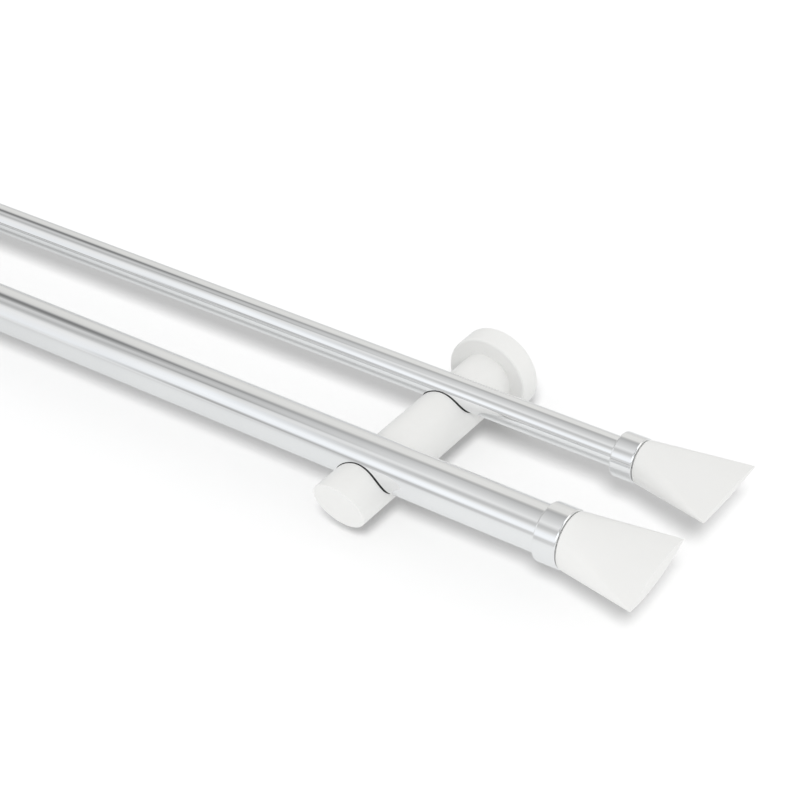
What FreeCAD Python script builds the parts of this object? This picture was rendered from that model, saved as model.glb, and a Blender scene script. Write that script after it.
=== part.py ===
"""Double curtain rod: two chrome tubes in saddle-cut wall brackets, with fan-shaped finials.

Millimetres. X runs along the rods, the wall is the plane y = 0 with the room at -Y, and Z is up.
The origin lies on the wall, midway between the two brackets, at the height of the arms' axes.
"""
import FreeCAD, Part
import math
import os

import Sketcher
from FreeCAD import Placement, Rotation, Vector

# Driving sizes. Each one can be changed by itself.
SIZES = {
    # The two tubes
    "rod_length": 1200.0,
    "rod_overhang": 112.0,
    "rod_wall": 1.0,
    "front_rod_diameter": 25.0,
    "front_rod_reach": 112.7,
    "front_rod_height": 10.6,
    "back_rod_diameter": 16.0,
    "back_rod_reach": 44.8,
    "back_rod_height": 12.8,
    # The bracket's arm
    "arm_diameter": 30.0,
    "arm_reach": 142.0,
    "arm_front_slant": 17.0,
    "arm_edge_round": 0.5,
    "saddle_gap": 0.5,
    # The rosette, a cup that hides the wall plate
    "rosette_diameter": 47.5,
    "rosette_depth": 12.7,
    "rosette_face": 2.5,
    "rosette_skirt": 2.0,
    "rosette_round": 1.2,
    # The wall plate and its spigot
    "plate_diameter": 40.0,
    "plate_thickness": 3.0,
    "hub_diameter": 18.0,
    "spigot_diameter": 14.0,
    "spigot_length": 20.0,
    "spigot_gap": 0.2,
    "spigot_bore_spare": 1.5,
    "waist_depth": 1.0,
    "waist_length": 6.5,
    "wall_screw_spacing": 29.0,
    "wall_screw_hole": 4.5,
    "wall_screw_sink": 8.4,
    # The headless screws under the arm
    "screw_diameter": 5.0,
    "screw_recess": 3.0,
    "screw_point": 2.4,
    "thread_gap": 0.05,
    "key_width": 2.5,
    "key_depth": 2.5,
    "lock_screw_offset": 11.0,
    # The collars
    "collar_gap": 0.3,
    "collar_web": 1.6,
    "collar_round": 0.9,
    "front_collar_diameter": 30.6,
    "front_collar_grip": 7.5,
    "front_collar_nose": 5.5,
    "back_collar_diameter": 23.5,
    "back_collar_grip": 9.0,
    "back_collar_nose": 3.4,
    # The fans
    "fan_inset": 0.3,
    "shadow_gap": 0.6,
    "neck_inset": 1.5,
    "neck_gap": 0.1,
    "fan_round": 0.5,
    "front_fan_length": 46.3,
    "front_fan_width": 48.8,
    "front_fan_thickness": 8.0,
    "front_fan_tilt": 11.9,
    "back_fan_length": 48.0,
    "back_fan_width": 50.0,
    "back_fan_thickness": 3.4,
    "back_fan_tilt": 1.8,
    "fan_corner_round": 0.4,
    # The plugs
    "plug_gap": 0.3,
    "plug_length": 24.0,
    "plug_disc": 2.5,
    "plug_lead": 2.0,
    "rib_height": 2.0,
    "rib_thickness": 1.6,
    "rib_count": 6,
    "seat_gap": 0.2,
    "peg_length": 18.0,
    "peg_gap": 0.1,
    "front_peg_diameter": 10.0,
    "back_peg_diameter": 6.0,
}

doc = FreeCAD.newDocument("double_curtain_rod")
sheet = doc.addObject("Spreadsheet::Sheet", "sizes")
for row, (alias, value) in enumerate(SIZES.items(), 1):
    sheet.set(f"A{row}", alias)
    sheet.set(f"B{row}", str(value))
    sheet.setAlias(f"B{row}", alias)
doc.recompute()

pieces = []


def worked_out(expression):
    """The number that an expression on the sheet gives."""
    result = sheet.evalExpression(expression)
    return float(getattr(result, "Value", result))


def piece(label, position, rotation):
    """A new body for one sub-part, placed by three expressions and a rotation."""
    body = doc.addObject("PartDesign::Body", label)
    body.Label = label
    body.Placement = Placement(Vector(), rotation)
    for axis, expression in zip("xyz", position):
        body.setExpression(f"Placement.Base.{axis}", expression)
    pieces.append(body)
    return body


def sketch_on(body, name, role, offset="0"):
    """An empty sketch on one of the body's own planes, moved along the plane's normal by an offset."""
    sketch = body.newObject("Sketcher::SketchObject", f"{body.Name}_{name}")
    plane = next(part for part in body.Origin.OriginFeatures if part.Role == role)
    sketch.AttachmentSupport = [(plane, "")]
    sketch.MapMode = "FlatFace"
    sketch.setExpression("AttachmentOffset.Base.z", offset)
    return sketch


def pin(sketch, kind, geometry, point, expression):
    """Fixes one coordinate or radius of a sketch to an expression."""
    value = worked_out(expression)
    if kind == "Radius":
        number = sketch.addConstraint(Sketcher.Constraint(kind, geometry, value))
    else:
        number = sketch.addConstraint(Sketcher.Constraint(kind, geometry, point, value))
    sketch.setExpression(f"Constraints[{number}]", expression)


def draw_outline(sketch, corners):
    """A closed outline of straight lines through corners that are pairs of expressions."""
    first = sketch.GeometryCount
    count = len(corners)
    points = [Vector(worked_out(across), worked_out(up), 0) for across, up in corners]
    for k in range(count):
        sketch.addGeometry(Part.LineSegment(points[k], points[(k + 1) % count]), False)
    for k in range(count):
        following = first + (k + 1) % count
        sketch.addConstraint(Sketcher.Constraint("Coincident", first + k, 2, following, 1))
    for k, (across, up) in enumerate(corners):
        pin(sketch, "DistanceX", first + k, 1, across)
        pin(sketch, "DistanceY", first + k, 1, up)


def draw_circle(sketch, radius, across="0", up="0"):
    """A circle whose centre and radius are expressions."""
    centre = Vector(worked_out(across), worked_out(up), 0)
    circle = sketch.addGeometry(Part.Circle(centre, Vector(0, 0, 1), worked_out(radius)), False)
    pin(sketch, "Radius", circle, None, radius)
    pin(sketch, "DistanceX", circle, 3, across)
    pin(sketch, "DistanceY", circle, 3, up)


class Lens:
    """A flat lens of two wide arcs and two small corner arcs, all tangent, as expressions."""

    def __init__(self, half_width, half_height, corner):
        self.corner = corner
        self.corner_centre = f"({half_width} - {corner})"
        self.radius = (f"(({self.corner_centre} ^ 2 + ({half_height}) ^ 2 - ({corner}) ^ 2)"
                       f" / (2 * ({half_height} - {corner})))")
        self.drop = f"({self.radius} - {half_height})"
        self.reach = f"({self.radius} - {corner})"


def draw_four_arcs(sketch, centres, radii, joint):
    """A closed line of right, upper, left and lower arcs that meet at four mirrored points."""
    across, up = (worked_out(expression) for expression in joint)
    side_centre, drop = (worked_out(expression) for expression in centres)
    side_radius, wide_radius = (worked_out(expression) for expression in radii)
    normal = Vector(0, 0, 1)
    side_angle = math.atan2(up, across - side_centre)
    wide_angle = math.atan2(up + drop, across)
    plan = [
        (side_centre, 0, side_radius, -side_angle, side_angle),
        (0, -drop, wide_radius, wide_angle, math.pi - wide_angle),
        (-side_centre, 0, side_radius, math.pi - side_angle, math.pi + side_angle),
        (0, drop, wide_radius, math.pi + wide_angle, 2 * math.pi - wide_angle),
    ]
    for centre_x, centre_y, radius, start, stop in plan:
        circle = Part.Circle(Vector(centre_x, centre_y, 0), normal, radius)
        sketch.addGeometry(Part.ArcOfCircle(circle, start, stop), False)
    signs = [(1, -1), (1, 1), (-1, 1), (-1, -1)]
    for k, (sign_x, sign_y) in enumerate(signs):
        sketch.addConstraint(Sketcher.Constraint("Coincident", k, 2, (k + 1) % 4, 1))
        pin(sketch, "DistanceX", k, 1, joint[0] if sign_x > 0 else f"-({joint[0]})")
        pin(sketch, "DistanceY", k, 1, joint[1] if sign_y > 0 else f"-({joint[1]})")
    pin(sketch, "Radius", 0, None, radii[0])
    pin(sketch, "Radius", 1, None, radii[1])
    pin(sketch, "Radius", 2, None, radii[0])
    pin(sketch, "Radius", 3, None, radii[1])


def draw_lens(sketch, lens):
    """The lens itself; its wide arcs end where its corner arcs begin."""
    grown = f"{lens.radius} / {lens.reach}"
    joint = (f"{lens.corner_centre} * {grown}", f"{lens.drop} * ({grown} - 1)")
    draw_four_arcs(sketch, (lens.corner_centre, lens.drop), (lens.corner, lens.radius), joint)


def draw_round_foot(sketch, radius, lens):
    """A circle in four arcs, split where its outward direction is that of the lens's joints."""
    joint = (f"{radius} * {lens.corner_centre} / {lens.reach}", f"{radius} * {lens.drop} / {lens.reach}")
    draw_four_arcs(sketch, ("0", "0"), (radius, radius), joint)


def turn(body, corners):
    """A turned solid: the outline, as radius and height, goes once round the body's Z axis."""
    sketch = sketch_on(body, "profile", "XZ_Plane")
    draw_outline(sketch, corners)
    turned = body.newObject("PartDesign::Revolution", f"{body.Name}_turned")
    turned.Profile = sketch
    turned.ReferenceAxis = (sketch, ["V_Axis"])
    turned.Angle = 360
    doc.recompute()


def cut(body, name, sketch, side="One side", reversed_way=False, depth=None):
    """A pocket through the whole body or to a depth; it stops the run if it removes nothing."""
    before = body.Shape.Volume
    pocket = body.newObject("PartDesign::Pocket", f"{body.Name}_{name}")
    pocket.Profile = sketch
    pocket.SideType = side
    pocket.Reversed = reversed_way
    pocket.Type = "ThroughAll" if depth is None else "Length"
    if depth is not None:
        pocket.setExpression("Length", depth)
    doc.recompute()
    if not body.Shape.Volume < before - 0.01:
        raise RuntimeError(f"{pocket.Name} removed nothing")


def round_edges(body, name, radius, wanted):
    """Rounds those edges of the body for which wanted(edge) is true."""
    base = body.Tip
    edges = [f"Edge{k}" for k, edge in enumerate(base.Shape.Edges, 1) if wanted(edge)]
    if not edges:
        raise RuntimeError(f"{body.Name} has no edge for {name}")
    fillet = body.newObject("PartDesign::Fillet", f"{body.Name}_{name}")
    fillet.Base = (base, edges)
    fillet.setExpression("Radius", radius)
    doc.recompute()


def circle_at(height, radius):
    """A test for round edges about the body's Z axis at a height and radius given as expressions."""
    level = worked_out(height)
    size = worked_out(radius)

    def matches(edge):
        curve = edge.Curve
        if not isinstance(curve, Part.Circle):
            return False
        return abs(curve.Center.z - level) < 1e-4 and abs(curve.Radius - size) < 1e-4

    return matches


# Each bracket stands half the rods' length from the middle, less the overhang.
BRACKET_PLACE = "sizes.rod_length / 2 - sizes.rod_overhang"
ARM_RADIUS = "sizes.arm_diameter / 2"
# A bracket piece is modelled with its axis upright, so its own Z is the way out from the wall
# and its own Y is up when it hangs on the wall.
OUT_FROM_WALL = Rotation(Vector(1, 0, 0), 90)
RODS = ("front", "back")
SIDES = {"right": 1, "left": -1}


def bore_radius(rod):
    return f"sizes.{rod}_rod_diameter / 2 - sizes.rod_wall"


def make_rod(rod):
    """A drawn tube, open at both ends, where its collars and plugs go."""
    body = piece(f"{rod}_rod", ("0", f"-sizes.{rod}_rod_reach", f"sizes.{rod}_rod_height"), Rotation())
    section = sketch_on(body, "section", "YZ_Plane")
    draw_circle(section, f"sizes.{rod}_rod_diameter / 2")
    draw_circle(section, bore_radius(rod))
    tube = body.newObject("PartDesign::Pad", f"{body.Name}_tube")
    tube.Profile = section
    tube.SideType = "Symmetric"
    tube.setExpression("Length", "sizes.rod_length")
    doc.recompute()


def bracket_piece(side, name):
    sign = "" if SIDES[side] > 0 else "-"
    return piece(f"{side}_{name}", (f"{sign}({BRACKET_PLACE})", "0", "0"), OUT_FROM_WALL)


def make_arm(side):
    """The round bar: a slanted front, two cross bores that break out on top, and screw holes below."""
    body = bracket_piece(side, "arm")
    bar_section = sketch_on(body, "section", "XY_Plane", "sizes.rosette_depth")
    draw_circle(bar_section, ARM_RADIUS)
    bar = body.newObject("PartDesign::Pad", f"{body.Name}_bar")
    bar.Profile = bar_section
    bar.setExpression("Length", "sizes.arm_reach + sizes.arm_diameter - sizes.rosette_depth")
    doc.recompute()

    # The front is sawn off so that the top stands further out than the bottom.
    front = sketch_on(body, "front_slant", "YZ_Plane")
    rise = "sizes.arm_diameter * tan(sizes.arm_front_slant)"
    far_end = "sizes.arm_reach + 2 * sizes.arm_diameter"
    draw_outline(front, [
        ("-sizes.arm_diameter", f"sizes.arm_reach - {rise}"),
        ("sizes.arm_diameter", f"sizes.arm_reach + {rise}"),
        ("sizes.arm_diameter", far_end),
        ("-sizes.arm_diameter", far_end),
    ])
    cut(body, "front_cut", front, side="Symmetric")

    # Each rod lies in a cross bore that is wider than half a circle, so the lips hold the rod down.
    for rod in RODS:
        saddle = sketch_on(body, f"{rod}_saddle", "YZ_Plane")
        draw_circle(saddle, f"sizes.{rod}_rod_diameter / 2 + sizes.saddle_gap",
                    f"sizes.{rod}_rod_height", f"sizes.{rod}_rod_reach")
        cut(body, f"{rod}_saddle_cut", saddle, side="Symmetric")
        hole = sketch_on(body, f"{rod}_screw_hole", "XZ_Plane", f"-sizes.{rod}_rod_height")
        draw_circle(hole, "sizes.screw_diameter / 2", "0", f"sizes.{rod}_rod_reach")
        cut(body, f"{rod}_screw_cut", hole, reversed_way=True)

    # The wall end slides over the spigot, and the lock screw comes up into the same bore.
    socket = sketch_on(body, "spigot_bore", "XY_Plane", "sizes.rosette_depth")
    draw_circle(socket, "sizes.spigot_diameter / 2 + sizes.spigot_gap")
    bore_depth = "sizes.spigot_length + sizes.spigot_bore_spare"
    cut(body, "spigot_bore_cut", socket, reversed_way=True, depth=bore_depth)
    lock_hole = sketch_on(body, "lock_hole", "XZ_Plane")
    draw_circle(lock_hole, "sizes.screw_diameter / 2", "0", "sizes.rosette_depth + sizes.lock_screw_offset")
    cut(body, "lock_hole_cut", lock_hole, reversed_way=True)

    round_edges(body, "root_round", "sizes.arm_edge_round", circle_at("sizes.rosette_depth", ARM_RADIUS))
    round_edges(body, "front_round", "sizes.arm_edge_round",
                lambda edge: isinstance(edge.Curve, Part.Ellipse)
                and abs(edge.Curve.Center.z - SIZES["arm_reach"]) < 0.01)


def make_rosette(side):
    """The cup over the wall plate; the arm's shoulder holds it against the plate's hub."""
    body = bracket_piece(side, "rosette")
    outside = "sizes.rosette_diameter / 2"
    inside = "sizes.rosette_diameter / 2 - sizes.rosette_skirt"
    hole = "sizes.spigot_diameter / 2 + sizes.spigot_gap"
    back_of_face = "sizes.rosette_depth - sizes.rosette_face"
    turn(body, [
        (hole, back_of_face),
        (inside, back_of_face),
        (inside, "0"),
        (outside, "0"),
        (outside, "sizes.rosette_depth"),
        (hole, "sizes.rosette_depth"),
    ])
    round_edges(body, "front_round", "sizes.rosette_round", circle_at("sizes.rosette_depth", outside))


def make_wall_plate(side):
    """The disc that is screwed to the wall, with a hub and a waisted spigot for the arm."""
    body = bracket_piece(side, "wall_plate")
    disc = "sizes.plate_diameter / 2"
    hub = "sizes.hub_diameter / 2"
    spigot = "sizes.spigot_diameter / 2"
    waist = "sizes.spigot_diameter / 2 - sizes.waist_depth"
    shoulder = "sizes.rosette_depth - sizes.rosette_face"
    lock_height = "sizes.rosette_depth + sizes.lock_screw_offset"
    tip = "sizes.rosette_depth + sizes.spigot_length"
    turn(body, [
        ("0", "0"),
        (disc, "0"),
        (disc, "sizes.plate_thickness"),
        (hub, "sizes.plate_thickness"),
        (hub, shoulder),
        (spigot, shoulder),
        (spigot, f"{lock_height} - sizes.waist_length / 2"),
        (waist, f"{lock_height} - sizes.waist_length / 2"),
        (waist, f"{lock_height} + sizes.waist_length / 2"),
        (spigot, f"{lock_height} + sizes.waist_length / 2"),
        (spigot, tip),
        ("0", tip),
    ])
    centres = sketch_on(body, "wall_screw_centres", "XY_Plane", "sizes.plate_thickness")
    draw_circle(centres, "sizes.wall_screw_hole / 2", "sizes.wall_screw_spacing / 2")
    draw_circle(centres, "sizes.wall_screw_hole / 2", "-sizes.wall_screw_spacing / 2")
    doc.recompute()
    before = body.Shape.Volume
    holes = body.newObject("PartDesign::Hole", f"{body.Name}_wall_screw_holes")
    holes.Profile = centres
    holes.Threaded = False
    holes.DepthType = "ThroughAll"
    holes.HoleCutType = "Countersink"
    holes.HoleCutCustomValues = True
    holes.setExpression("Diameter", "sizes.wall_screw_hole")
    holes.setExpression("HoleCutDiameter", "sizes.wall_screw_sink")
    holes.HoleCutCountersinkAngle = 90
    doc.recompute()
    if not body.Shape.Volume < before - 0.01:
        raise RuntimeError(f"{holes.Name} removed nothing")


def make_screw(side, name, reach, tip_height):
    """A headless screw that stands upright in the arm's underside, point up, key socket down."""
    low = "-sizes.arm_diameter / 2 + sizes.screw_recess"
    sign = "" if SIDES[side] > 0 else "-"
    body = piece(f"{side}_{name}", (f"{sign}({BRACKET_PLACE})", f"-({reach})", low), Rotation())
    length = f"{tip_height} - ({low})"
    shank = "sizes.screw_diameter / 2 - sizes.thread_gap"
    point = "sizes.screw_point / 2"
    turn(body, [
        ("0", "0"),
        (shank, "0"),
        (shank, f"{length} - ({shank} - {point})"),
        (point, length),
        ("0", length),
    ])
    socket = sketch_on(body, "key_socket", "XY_Plane")
    corner = "sizes.key_width / sqrt(3)"
    draw_outline(socket, [(f"{corner} * cos({60 * k})", f"{corner} * sin({60 * k})") for k in range(6)])
    cut(body, "key_socket_cut", socket, reversed_way=True, depth="sizes.key_depth")


def make_screws(side):
    """Two screws that hold the rods and one that locks the arm on its spigot."""
    for rod in RODS:
        underside = f"sizes.{rod}_rod_height - sizes.{rod}_rod_diameter / 2"
        make_screw(side, f"{rod}_rod_screw", f"sizes.{rod}_rod_reach", underside)
    make_screw(side, "lock_screw", "sizes.rosette_depth + sizes.lock_screw_offset",
               "-(sizes.spigot_diameter / 2 - sizes.waist_depth)")


def finial_piece(rod, side, name):
    """A finial piece with its own Z along the rod, outwards; its zero is the end of the rod."""
    sign = "" if SIDES[side] > 0 else "-"
    rotation = Rotation(Vector(1, 1, 1), 120)
    if SIDES[side] < 0:
        rotation = Rotation(Vector(0, 0, 1), 180).multiply(rotation)
    place = (f"{sign}sizes.rod_length / 2", f"-sizes.{rod}_rod_reach", f"sizes.{rod}_rod_height")
    return piece(f"{rod}_{side}_{name}", place, rotation)


def make_collar(rod, side):
    """The ring over the rod's end; its web stands between the rod and the fan's neck."""
    body = finial_piece(rod, side, "collar")
    outside = f"sizes.{rod}_collar_diameter / 2"
    bore = f"sizes.{rod}_rod_diameter / 2 + sizes.collar_gap"
    peg_hole = f"sizes.{rod}_peg_diameter / 2 + sizes.peg_gap"
    neck_bore = f"sizes.{rod}_collar_diameter / 2 - sizes.neck_inset"
    mouth = f"-sizes.{rod}_collar_grip"
    seat = "sizes.seat_gap"
    web_front = "sizes.seat_gap + sizes.collar_web"
    nose = f"sizes.{rod}_collar_nose"
    turn(body, [
        (bore, mouth),
        (outside, mouth),
        (outside, nose),
        (neck_bore, nose),
        (neck_bore, web_front),
        (peg_hole, web_front),
        (peg_hole, seat),
        (bore, seat),
    ])
    round_edges(body, "mouth_round", "sizes.collar_round", circle_at(mouth, outside))
    round_edges(body, "nose_round", "sizes.collar_round", circle_at(nose, outside))


def make_fan(rod, side):
    """The white finial: a round foot that goes over in straight lines to a flat lens-shaped end."""
    body = finial_piece(rod, side, "fan")
    neck_foot = "sizes.seat_gap + sizes.collar_web"
    shoulder = f"sizes.{rod}_collar_nose + sizes.shadow_gap"
    foot_radius = f"sizes.{rod}_collar_diameter / 2 - sizes.fan_inset"
    neck_sketch = sketch_on(body, "neck", "XY_Plane", neck_foot)
    draw_circle(neck_sketch, f"sizes.{rod}_collar_diameter / 2 - sizes.neck_inset - sizes.neck_gap")
    neck = body.newObject("PartDesign::Pad", f"{body.Name}_neck_pad")
    neck.Profile = neck_sketch
    neck.setExpression("Length", f"{shoulder} - ({neck_foot})")

    # Straight lines join the points of foot and end that face the same way, so the blade has
    # straight sides from wherever it is seen.
    lens = Lens(f"sizes.{rod}_fan_width / 2", f"sizes.{rod}_fan_thickness / 2", "sizes.fan_corner_round")
    foot = sketch_on(body, "foot", "XY_Plane", shoulder)
    draw_round_foot(foot, f"({foot_radius})", lens)
    end = sketch_on(body, "end", "XY_Plane", f"{shoulder} + sizes.{rod}_fan_length")
    draw_lens(end, lens)
    # A fan turns on its peg: those on the right stand as last set, those on the left level.
    if side == "right":
        for section in (foot, end):
            section.setExpression("AttachmentOffset.Rotation.Angle", f"sizes.{rod}_fan_tilt * 1 deg")
    blade = body.newObject("PartDesign::AdditiveLoft", f"{body.Name}_blade")
    blade.Profile = foot
    blade.Sections = [end]
    blade.Ruled = True
    doc.recompute()
    round_edges(body, "foot_round", "sizes.fan_round", circle_at(shoulder, foot_radius))

    peg_bore = sketch_on(body, "peg_bore", "XY_Plane", neck_foot)
    draw_circle(peg_bore, f"sizes.{rod}_peg_diameter / 2 + sizes.peg_gap")
    cut(body, "peg_bore_cut", peg_bore, reversed_way=True, depth="sizes.peg_length")


def make_plug(rod, side):
    """The ribbed plug in the rod's end; its disc bears on the collar's web, its peg holds the fan."""
    body = finial_piece(rod, side, "plug")
    disc = f"{bore_radius(rod)} - sizes.plug_gap"
    core = f"{disc} - sizes.rib_height"
    peg = f"sizes.{rod}_peg_diameter / 2"
    turn(body, [
        ("0", "-sizes.plug_length"),
        (core, "-sizes.plug_length"),
        (core, "-sizes.plug_disc"),
        (disc, "-sizes.plug_disc"),
        (disc, "sizes.seat_gap"),
        (peg, "sizes.seat_gap"),
        (peg, "sizes.peg_length"),
        ("0", "sizes.peg_length"),
    ])
    rib_outline = sketch_on(body, "rib_outline", "XZ_Plane")
    # The rib starts inside the core, and its outer corner is cut back for an easy start in the tube.
    root = f"({core}) / 2"
    draw_outline(rib_outline, [
        (root, "-sizes.plug_length"),
        (core, "-sizes.plug_length"),
        (disc, "-sizes.plug_length + sizes.plug_lead"),
        (disc, "-sizes.plug_disc"),
        (root, "-sizes.plug_disc"),
    ])
    rib = body.newObject("PartDesign::Pad", f"{body.Name}_rib")
    rib.Profile = rib_outline
    rib.SideType = "Symmetric"
    rib.setExpression("Length", "sizes.rib_thickness")
    doc.recompute()
    ribs = body.newObject("PartDesign::PolarPattern", f"{body.Name}_ribs")
    ribs.Originals = [rib]
    ribs.Axis = (rib_outline, ["V_Axis"])
    ribs.Angle = 360
    ribs.setExpression("Occurrences", "sizes.rib_count")
    body.Tip = ribs
    doc.recompute()


for rod_name in RODS:
    make_rod(rod_name)
for side_name in SIDES:
    make_arm(side_name)
    make_rosette(side_name)
    make_wall_plate(side_name)
    make_screws(side_name)
    for rod_name in RODS:
        make_collar(rod_name, side_name)
        make_fan(rod_name, side_name)
        make_plug(rod_name, side_name)

doc.recompute()
for item in doc.Objects:
    if "Invalid" in item.State or "Error" in item.State:
        raise RuntimeError(f"{item.Name} did not build: {item.State}")
for body in pieces:
    if body.Shape.isNull() or not body.Shape.isValid() or len(body.Shape.Solids) != 1:
        raise RuntimeError(f"{body.Label} is not one sound solid")

os.makedirs("parts", exist_ok=True)
for body in pieces:
    body.Shape.exportStep(f"parts/{body.Label}.step")
    print(f"{body.Label}: {body.Shape.Volume / 1000:.2f} cm3")
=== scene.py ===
# %% [markdown]
# # A double curtain rod in chrome and white
#
# Two polished tubes, a thick one and a thin one, lie in the cross bores of round white arms
# that stand out from the wall. Each rod ends in a chrome collar and a white finial shaped like
# a fan. This lesson dresses the measured model of that rod set: the sizes come from the model,
# and Blender gives the surfaces, the small edge rounds and the light.

# %% Load the measured model
import math

import bmesh
import bpy
from mathutils import Matrix, Quaternion, Vector


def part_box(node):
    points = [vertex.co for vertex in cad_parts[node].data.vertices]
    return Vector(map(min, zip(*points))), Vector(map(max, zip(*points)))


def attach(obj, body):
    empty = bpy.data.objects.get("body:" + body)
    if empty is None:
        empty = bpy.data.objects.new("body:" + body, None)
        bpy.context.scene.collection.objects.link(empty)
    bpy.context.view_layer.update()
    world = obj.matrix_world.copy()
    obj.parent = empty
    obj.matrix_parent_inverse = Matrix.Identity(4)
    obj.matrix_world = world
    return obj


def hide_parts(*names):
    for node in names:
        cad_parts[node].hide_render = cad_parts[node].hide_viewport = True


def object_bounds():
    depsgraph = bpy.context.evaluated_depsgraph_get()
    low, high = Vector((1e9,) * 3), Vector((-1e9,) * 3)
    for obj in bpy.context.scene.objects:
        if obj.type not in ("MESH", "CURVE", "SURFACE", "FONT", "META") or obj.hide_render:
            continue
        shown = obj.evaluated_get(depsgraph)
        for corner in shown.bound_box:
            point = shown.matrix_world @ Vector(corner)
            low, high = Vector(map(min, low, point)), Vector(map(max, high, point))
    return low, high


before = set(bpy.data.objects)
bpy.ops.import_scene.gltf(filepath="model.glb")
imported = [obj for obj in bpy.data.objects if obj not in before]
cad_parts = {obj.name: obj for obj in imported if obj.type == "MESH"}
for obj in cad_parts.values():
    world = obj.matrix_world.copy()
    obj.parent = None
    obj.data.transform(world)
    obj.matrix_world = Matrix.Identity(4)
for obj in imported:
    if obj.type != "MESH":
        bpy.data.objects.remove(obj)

cad_low, cad_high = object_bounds()

# %% [markdown]
# ## Sizes read off the model
#
# A fitter would measure the tubes, the arm and the collars with calipers. Here the boxes of the
# model's pieces give the same numbers, so the dressed pieces always sit where the model has them.
# Only sizes that a box can't show, such as a wall or a groove, are listed.

# %% Sizes of the rods, the arms and the finials
MM = 0.001
RODS = ("front", "back")
SIDES = {"right": 1, "left": -1}
GROUP = "rods_and_brackets"


def middle(node):
    """The middle of a node's box, in metres."""
    low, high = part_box(node)
    return (Vector(low) + Vector(high)) / 2


def span(node):
    """The three side lengths of a node's box, in metres."""
    low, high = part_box(node)
    return Vector(high) - Vector(low)


rod_radius = {rod: span(f"{rod}_rod").y / 2 for rod in RODS}
rod_axis = {rod: middle(f"{rod}_rod") for rod in RODS}
rod_half_length = span("front_rod").x / 2
arm_radius = span("right_arm").x / 2
bracket_x = middle("right_arm").x
for rod in RODS:
    print(rod, "rod: radius", round(rod_radius[rod] / MM, 2), "mm, axis at", tuple(rod_axis[rod]))

# %% [markdown]
# ## Camera
#
# The photograph looks down at the right-hand end from the room side, through a long lens and
# with the camera turned a little about its line of sight. A long lens keeps the two rods nearly
# parallel in the picture. Place, aim and roll are real lengths and angles, so the same camera
# would work in a studio.

# %% Camera
CAMERA_PLACE = Vector((1.0434, -0.7899, 0.6738))
CAMERA_AIM = Vector((0.4606, -0.0530, 0.0))
CAMERA_ROLL = math.radians(-3.54)
LENS_MM = 99.1
SENSOR_MM = 36.0
NEAREST, FARTHEST = 0.01, 50.0

camera_data = bpy.data.cameras.new("camera")
camera_data.lens = LENS_MM
camera_data.sensor_width = SENSOR_MM
camera_data.clip_start = NEAREST
camera_data.clip_end = FARTHEST
camera = bpy.data.objects.new("camera", camera_data)
bpy.context.scene.collection.objects.link(camera)
aim_turn = (CAMERA_AIM - CAMERA_PLACE).to_track_quat("-Z", "Y")
rolled_turn = aim_turn @ Quaternion((0, 0, 1), CAMERA_ROLL)
camera.matrix_world = Matrix.Translation(CAMERA_PLACE) @ rolled_turn.to_matrix().to_4x4()
bpy.context.scene.camera = camera
print("camera stands", round((CAMERA_AIM - CAMERA_PLACE).length, 3), "m from what it looks at")

# %% [markdown]
# ## A kit for materials
#
# Every finish below is a small network of nodes on a Principled shader. The steady numbers are
# typed into the shader's own sockets. Only what changes over a surface, such as the fine drawing
# lines of a polished tube, comes from a texture node.

# %% Helpers for materials
EVEN = (1, 1, 1)


class Finish:
    """A new material with its shader, and short ways to add nodes and links."""

    def __init__(self, name, **sockets):
        self.material = bpy.data.materials.new(name)
        self.material.use_nodes = True
        self.tree = self.material.node_tree
        self.shader = self.tree.nodes["Principled BSDF"]
        for socket, value in sockets.items():
            self.shader.inputs[socket.replace("_", " ")].default_value = value

    def node(self, kind, **inputs):
        made = self.tree.nodes.new(kind)
        for key, value in inputs.items():
            made.inputs[key].default_value = value
        return made

    def link(self, out_socket, in_socket):
        self.tree.links.new(out_socket, in_socket)

    def noise(self, per_metre, detail, stretch=EVEN):
        """A value from 0 to 1 that changes so often per metre; stretch slows it along an axis."""
        where = self.node("ShaderNodeTexCoord")
        mapping = self.node("ShaderNodeMapping", Scale=stretch)
        grains = self.node("ShaderNodeTexNoise", Scale=per_metre, Detail=detail)
        self.link(where.outputs["Object"], mapping.inputs["Vector"])
        self.link(mapping.outputs["Vector"], grains.inputs["Vector"])
        return grains.outputs[0]

    def spread(self, source, low, high, socket):
        """Carries a 0 to 1 value into a socket as a range from low to high."""
        remap = self.node("ShaderNodeMapRange")
        remap.inputs["To Min"].default_value = low
        remap.inputs["To Max"].default_value = high
        self.link(source, remap.inputs["Value"])
        self.link(remap.outputs["Result"], self.shader.inputs[socket])

    def tint(self, source, dark, light):
        """Carries a 0 to 1 value into the base colour as a blend of two colours."""
        ramp = self.node("ShaderNodeValToRGB")
        ramp.color_ramp.elements[0].color = (*dark, 1)
        ramp.color_ramp.elements[1].color = (*light, 1)
        self.link(source, ramp.inputs["Fac"])
        self.link(ramp.outputs["Color"], self.shader.inputs["Base Color"])

    def bump(self, source, height_mm, strength):
        """Raises the surface by a height field, without moving the mesh."""
        relief = self.node("ShaderNodeBump", Strength=strength, Distance=height_mm * MM)
        self.link(source, relief.inputs["Height"])
        self.link(relief.outputs["Normal"], self.shader.inputs["Normal"])


def wear(piece, finish):
    """Puts one finish on every slot of a piece."""
    slots = piece.data.materials
    if len(slots) == 0:
        slots.append(finish.material)
    for k in range(len(slots)):
        slots[k] = finish.material


# %% [markdown]
# ## Bright chrome
#
# The tubes are drawn steel, polished and plated. Plating is almost a mirror, yet the polishing
# belt leaves faint lines along the tube, and handling leaves a slight haze. The lines are noise,
# stretched fifty times along X on a tube and twenty times across X on a collar. They only move the
# roughness and a bump of about a ten-thousandth of a millimetre, because stronger lines would look
# like brushed steel.

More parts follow.
